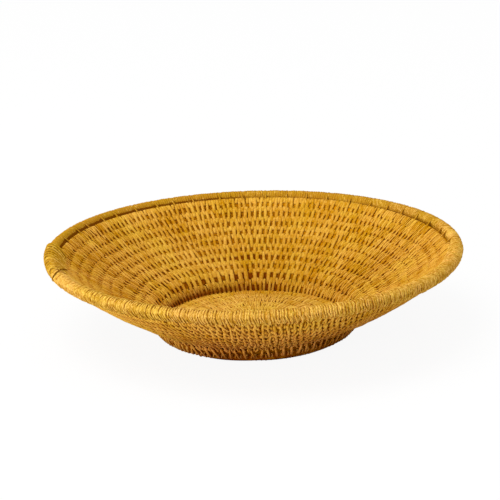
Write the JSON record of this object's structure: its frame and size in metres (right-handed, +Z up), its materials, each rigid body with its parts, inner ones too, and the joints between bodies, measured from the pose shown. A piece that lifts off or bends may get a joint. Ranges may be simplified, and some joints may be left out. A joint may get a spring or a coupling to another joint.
{
  "type": "coiled sisal basket",
  "caption": "Shallow round bowl basket of stitched sisal coil, with a flat floor, a low foot, a flared wall and a thick wrapped rim, for holding fruit, bread or small things.",
  "frame": {"origin": "on the table, under the middle of the floor", "axes": "+Z up out of the bowl, +X to the right and +Y away from the viewer in the picture, with the rim splice on the left"},
  "size_m": [0.3539, 0.3531, 0.0794],
  "materials": {
    "floor_coil": "dyed sisal stitches laid close over a fibre bundle, matt",
    "wall_coil": "dyed sisal stitches spaced over a darker fibre bundle, matt",
    "rim_fibre": "raw fibre bundle inside the rim roll, matt",
    "rim_strand": "dyed sisal strand wound close, with a faint sheen"
  },
  "bodies": {
    "root": {"start_knot": "floor_coil", "floor_coil_1": "floor_coil", "floor_coil_2": "floor_coil", "floor_coil_3": "floor_coil", "floor_coil_4": "floor_coil", "floor_coil_5": "floor_coil", "floor_coil_6": "floor_coil", "floor_coil_7": "floor_coil", "wall_coil_1": "wall_coil", "wall_coil_2": "wall_coil", "wall_coil_3": "wall_coil", "wall_coil_4": "wall_coil", "wall_coil_5": "wall_coil", "wall_coil_6": "wall_coil", "wall_coil_7": "wall_coil", "wall_coil_8": "wall_coil", "wall_coil_9": "wall_coil", "wall_coil_10": "wall_coil", "rim_core": "rim_fibre", "rim_wrap": "rim_strand", "rim_lashing": "rim_strand", "splice_binding": "rim_strand"}
  },
  "joints": []
}
